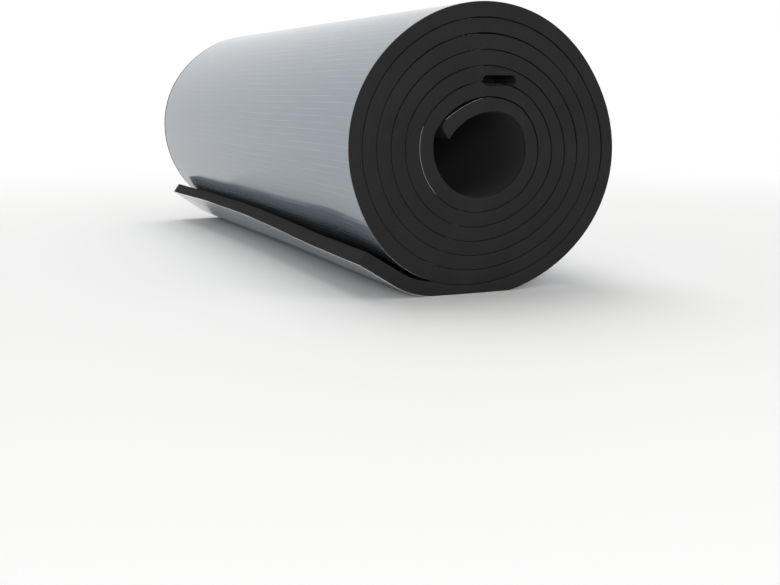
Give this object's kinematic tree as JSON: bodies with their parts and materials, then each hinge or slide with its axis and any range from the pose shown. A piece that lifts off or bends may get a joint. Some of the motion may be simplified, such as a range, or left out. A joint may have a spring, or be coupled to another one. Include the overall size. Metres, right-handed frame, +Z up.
{
  "type": "insulation roll",
  "caption": "Roll of black closed-cell rubber foam sheet with a grey release film on its outer face, lying on its side with the sheet's loose end lifted off the floor.",
  "frame": {"origin": "on the floor, at the middle of the roll's length and width", "axes": "+Y along the roll's axis, from the end with the pocket to the other end; +Z up; +X to the right as that first end is looked at"},
  "size_m": [0.3786, 1, 0.3674],
  "materials": {
    "foam": "matte closed-cell foam, skinned faces and cut ends",
    "film": "glossy thin film with fine creases along the roll"
  },
  "bodies": {
    "root": {"foam_sheet": "foam", "release_film": "film"}
  },
  "joints": []
}
